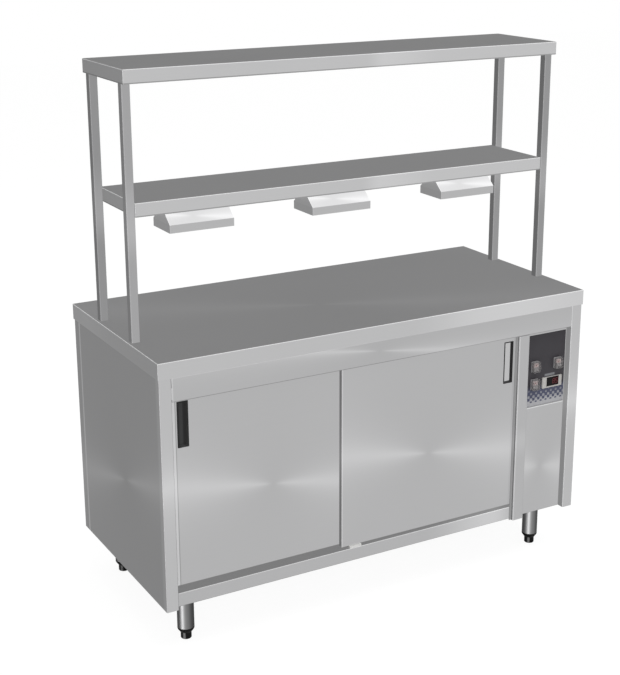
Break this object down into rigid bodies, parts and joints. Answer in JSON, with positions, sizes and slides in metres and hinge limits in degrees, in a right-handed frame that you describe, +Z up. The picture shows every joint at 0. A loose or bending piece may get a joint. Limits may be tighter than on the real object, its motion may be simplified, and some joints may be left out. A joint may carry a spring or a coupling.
{
  "type": "plate warmer cabinet",
  "caption": "Stainless plate warmer cabinet with sliding doors, a control bay, round legs, and a tiered gantry on posts that holds heat lamps over the worktop.",
  "frame": {"origin": "on the floor, under the middle of the worktop", "axes": "+Z up; the doors face -Y; +X runs along the front towards the control bay"},
  "size_m": [1.472, 0.667, 1.6685],
  "materials": {
    "worktop_steel": "brushed",
    "panel_steel": "brushed",
    "gantry_steel": "brushed",
    "structure_steel": "satin",
    "lining_steel": "satin",
    "mineral_wool": "matt",
    "track_aluminium": "satin",
    "buffer_rubber": "matt",
    "guide_nylon": "matt",
    "wheel_nylon": "satin",
    "foot_plastic": "satin",
    "rocker_plastic": "satin",
    "pull_plastic": "satin",
    "label_film": "satin",
    "switch_plastic": "satin",
    "controller_plastic": "satin",
    "display_window": "gloss",
    "element_steel": "satin",
    "probe_steel": "polished",
    "relay_plastic": "matt",
    "gland_plastic": "matt",
    "leg_steel": "satin",
    "lamp_steel": "satin",
    "reflector_aluminium": "polished",
    "lamp_glass": "gloss",
    "guard_steel": "polished"
  },
  "bodies": {
    "cabinet": {"worktop": "worktop_steel", "worktop_stiffeners": "structure_steel", "side_panel_left": "panel_steel", "side_panel_right": "panel_steel", "back_panel": "panel_steel", "base_pan": "structure_steel", "sill_rail": "panel_steel", "header_rail": "panel_steel", "centre_stile": "panel_steel", "bay_partition": "structure_steel", "lining_walls": "lining_steel", "lining_floor": "lining_steel", "insulation_slabs": "mineral_wool", "inner_shelf": "lining_steel", "shelf_supports": "structure_steel", "top_track": "track_aluminium", "track_buffers": "buffer_rubber", "door_guide": "guide_nylon", "access_cover": "panel_steel", "control_panel": "panel_steel", "control_label": "label_film", "switch_frames": "switch_plastic", "controller_case": "controller_plastic", "controller_window": "display_window", "heating_elements": "element_steel", "element_guard": "lining_steel", "temperature_probe": "probe_steel", "relay_and_terminals": "relay_plastic", "cable_gland": "gland_plastic", "leg_tubes": "leg_steel", "leg_fittings": "foot_plastic", "gantry_posts": "gantry_steel", "post_flanges": "structure_steel", "gantry_lower_shelf": "gantry_steel", "gantry_upper_shelf": "gantry_steel", "lamp_housings": "lamp_steel", "lamp_reflectors": "reflector_aluminium", "lamp_tubes": "lamp_glass", "lamp_guards": "guard_steel", "lamp_brackets": "structure_steel", "fixing_bolts": "structure_steel"},
    "left_door": {"door_left_outer": "panel_steel", "door_left_inner": "lining_steel", "door_left_pull": "pull_plastic", "door_left_hangers": "structure_steel"},
    "right_door": {"door_right_outer": "panel_steel", "door_right_inner": "lining_steel", "door_right_pull": "pull_plastic", "door_right_hangers": "structure_steel"},
    "wheels_left_outer": {"wheels_left_outer": "wheel_nylon"},
    "wheels_left_inner": {"wheels_left_inner": "wheel_nylon"},
    "wheels_right_inner": {"wheels_right_inner": "wheel_nylon"},
    "wheels_right_outer": {"wheels_right_outer": "wheel_nylon"},
    "rocker_cupboard": {"rocker_cupboard": "rocker_plastic"},
    "rocker_lamps": {"rocker_lamps": "rocker_plastic"},
    "rocker_power": {"rocker_power": "rocker_plastic"},
    "foot_front_left": {"foot_front_left": "foot_plastic"},
    "foot_front_right": {"foot_front_right": "foot_plastic"},
    "foot_rear_left": {"foot_rear_left": "foot_plastic"},
    "foot_rear_right": {"foot_rear_right": "foot_plastic"}
  },
  "joints": [
    {"name": "left_door_slide", "type": "slide", "parent": "cabinet", "child": "left_door", "axis": [1, 0, 0], "range_m": [0, 0.5322]},
    {"name": "right_door_slide", "type": "slide", "parent": "cabinet", "child": "right_door", "axis": [-1, 0, 0], "range_m": [0, 0.5322]},
    {"name": "wheels_left_outer_roll", "type": "hinge", "parent": "left_door", "child": "wheels_left_outer", "pos_m": [-0.6152, -0.2705, 0.8371], "axis": [0, 1, 0], "range_deg": [0, 3390]},
    {"name": "wheels_left_inner_roll", "type": "hinge", "parent": "left_door", "child": "wheels_left_inner", "pos_m": [-0.0952, -0.2705, 0.8371], "axis": [0, 1, 0], "range_deg": [0, 3390]},
    {"name": "wheels_right_inner_roll", "type": "hinge", "parent": "right_door", "child": "wheels_right_inner", "pos_m": [-0.083, -0.2945, 0.8371], "axis": [0, -1, 0], "range_deg": [0, 3390]},
    {"name": "wheels_right_outer_roll", "type": "hinge", "parent": "right_door", "child": "wheels_right_outer", "pos_m": [0.437, -0.2945, 0.8371], "axis": [0, -1, 0], "range_deg": [0, 3390]},
    {"name": "rocker_cupboard_tip", "type": "hinge", "parent": "cabinet", "child": "rocker_cupboard", "pos_m": [0.56975, -0.3101, 0.662], "axis": [1, 0, 0], "range_deg": [0, 18]},
    {"name": "rocker_lamps_tip", "type": "hinge", "parent": "cabinet", "child": "rocker_lamps", "pos_m": [0.56975, -0.3101, 0.602], "axis": [1, 0, 0], "range_deg": [0, 18]},
    {"name": "rocker_power_tip", "type": "hinge", "parent": "cabinet", "child": "rocker_power", "pos_m": [0.66025, -0.3101, 0.662], "axis": [1, 0, 0], "range_deg": [0, 18]},
    {"name": "foot_front_left_screw", "type": "slide", "parent": "cabinet", "child": "foot_front_left", "axis": [0, 0, -1], "range_m": [0, 0.025]},
    {"name": "foot_front_right_screw", "type": "slide", "parent": "cabinet", "child": "foot_front_right", "axis": [0, 0, -1], "range_m": [0, 0.025]},
    {"name": "foot_rear_left_screw", "type": "slide", "parent": "cabinet", "child": "foot_rear_left", "axis": [0, 0, -1], "range_m": [0, 0.025]},
    {"name": "foot_rear_right_screw", "type": "slide", "parent": "cabinet", "child": "foot_rear_right", "axis": [0, 0, -1], "range_m": [0, 0.025]}
  ],
  "couplings": [
    {"joint": "wheels_left_outer_roll", "follows": "left_door_slide", "rad_per_m": 111.11},
    {"joint": "wheels_left_inner_roll", "follows": "left_door_slide", "rad_per_m": 111.11},
    {"joint": "wheels_right_inner_roll", "follows": "right_door_slide", "rad_per_m": 111.11},
    {"joint": "wheels_right_outer_roll", "follows": "right_door_slide", "rad_per_m": 111.11}
  ]
}
